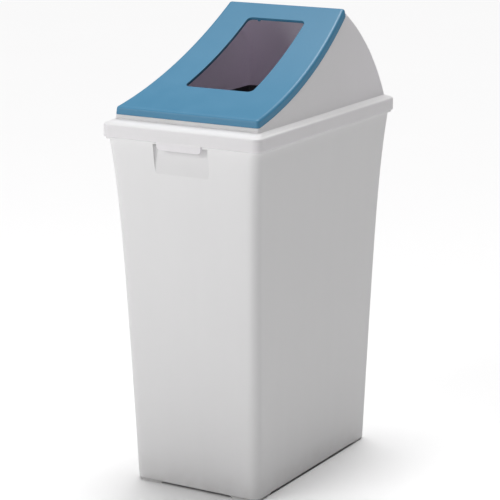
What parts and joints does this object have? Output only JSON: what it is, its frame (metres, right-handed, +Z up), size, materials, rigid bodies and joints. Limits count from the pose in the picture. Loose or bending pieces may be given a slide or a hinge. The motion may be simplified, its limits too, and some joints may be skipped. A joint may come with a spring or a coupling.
{
  "type": "recycling bin",
  "caption": "Slim free-standing recycling bin: tapered body on corner feet, rear-hinged hood lid, and a coloured sloping window panel with an open waste slot.",
  "frame": {"origin": "on the floor, under the centre of the lid's rim", "axes": "+Z up, the front with the grip tab faces -Y, +X to the right seen from the front; the lid's hinge is at +Y"},
  "size_m": [0.29, 0.469, 0.7601],
  "materials": {
    "body_plastic": "satin moulded polypropylene, off-white, with a very fine moulded grain",
    "lid_plastic": "satin moulded polypropylene, off-white, slightly smoother than the body",
    "panel_plastic": "satin moulded polypropylene, mid blue, fine grain",
    "foot_plastic": "moulded polypropylene in the body's colour",
    "pin_plastic": "smooth acetal"
  },
  "bodies": {
    "body": {"bin_body": "body_plastic", "foot_front_left": "foot_plastic", "foot_front_right": "foot_plastic", "foot_back_left": "foot_plastic", "foot_back_right": "foot_plastic", "hinge_pin_left": "pin_plastic", "hinge_pin_right": "pin_plastic"},
    "lid": {"lid_hood": "lid_plastic", "window_panel": "panel_plastic"}
  },
  "joints": [
    {"name": "lid_hinge", "type": "hinge", "parent": "body", "child": "lid", "pos_m": [0, 0.234, 0.5805], "axis": [-1, 0, 0], "range_deg": [0, 100]}
  ]
}
